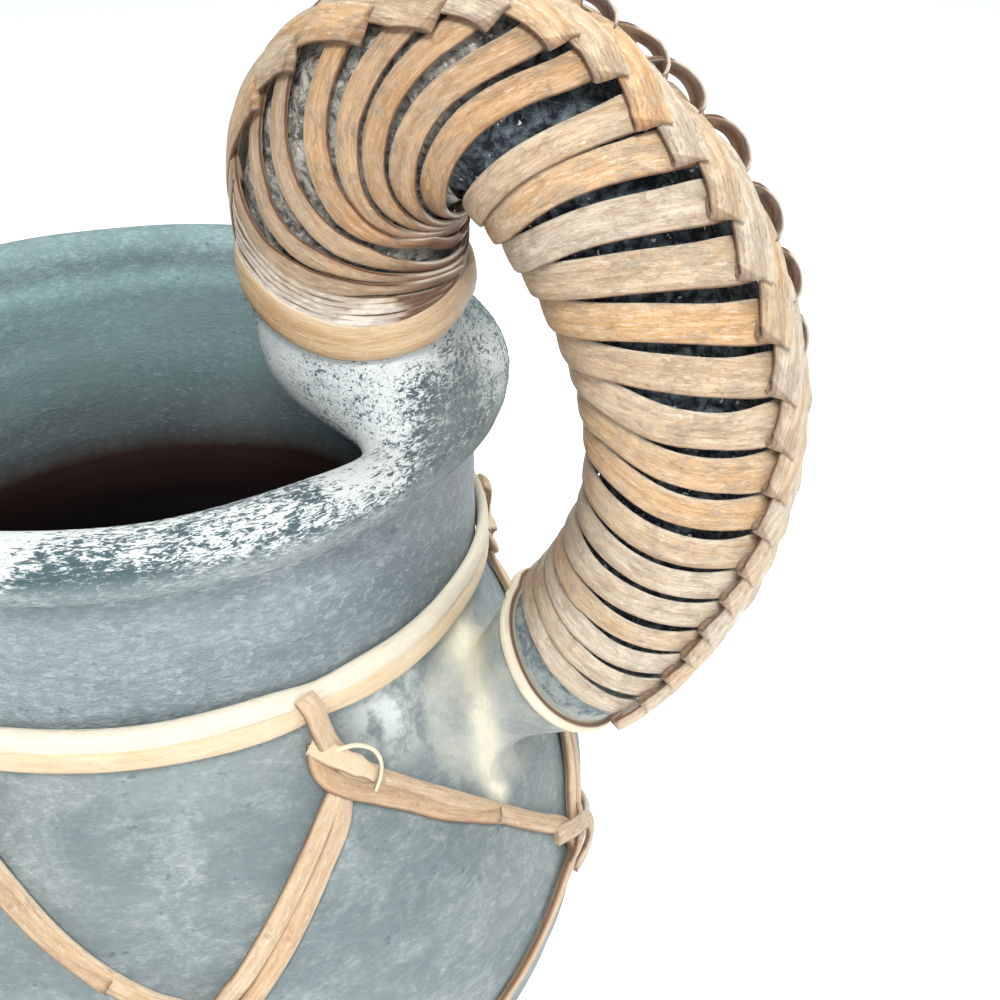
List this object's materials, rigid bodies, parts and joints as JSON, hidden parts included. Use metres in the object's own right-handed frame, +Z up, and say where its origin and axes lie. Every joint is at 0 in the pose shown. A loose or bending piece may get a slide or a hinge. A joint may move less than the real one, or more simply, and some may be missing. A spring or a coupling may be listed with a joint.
{
  "type": "rattan wrapped pitcher",
  "caption": "Clay pitcher with a rolled lip and a tall looped handle wound and plaited with flat cane; a knotted cane net hangs from hoops at the neck.",
  "frame": {"origin": "middle of the flat foot, on the surface it stands on", "axes": "+Z up through the mouth, +X toward the handle"},
  "size_m": [0.2033, 0.1653, 0.2471],
  "materials": {
    "painted_clay": "matte blue-grey paint, worn to white",
    "dark_clay": "matte dark paint with light flecks",
    "tan_cane": "split cane, satin, streaked",
    "pale_cane": "split cane, dull, bleached",
    "yellow_cane": "split cane, satin"
  },
  "bodies": {
    "root": {"jug_body": "painted_clay", "handle_core": "dark_clay", "handle_winding": "tan_cane", "start_whipping": "pale_cane", "start_band": "yellow_cane", "end_ring": "pale_cane", "plait_strand_1": "yellow_cane", "plait_strand_2": "pale_cane", "plait_strand_3": "tan_cane", "neck_hoop_upper": "pale_cane", "neck_hoop_lower": "yellow_cane", "base_hoop": "yellow_cane", "net_strand_1": "yellow_cane", "net_strand_2": "yellow_cane", "net_strand_3": "yellow_cane", "net_strand_4": "yellow_cane", "net_strand_5": "yellow_cane", "net_strand_6": "yellow_cane", "tie_knot_1": "tan_cane", "tie_knot_2": "tan_cane", "tie_knot_3": "tan_cane", "tie_knot_4": "tan_cane", "tie_knot_5": "tan_cane", "tie_knot_6": "tan_cane", "meeting_knot_1": "tan_cane", "meeting_knot_2": "tan_cane", "meeting_knot_3": "tan_cane", "meeting_knot_4": "tan_cane", "meeting_knot_5": "tan_cane", "meeting_knot_6": "tan_cane", "low_knot_1": "tan_cane", "low_knot_2": "tan_cane", "low_knot_3": "tan_cane", "low_knot_4": "tan_cane", "low_knot_5": "tan_cane", "low_knot_6": "tan_cane"}
  },
  "joints": []
}
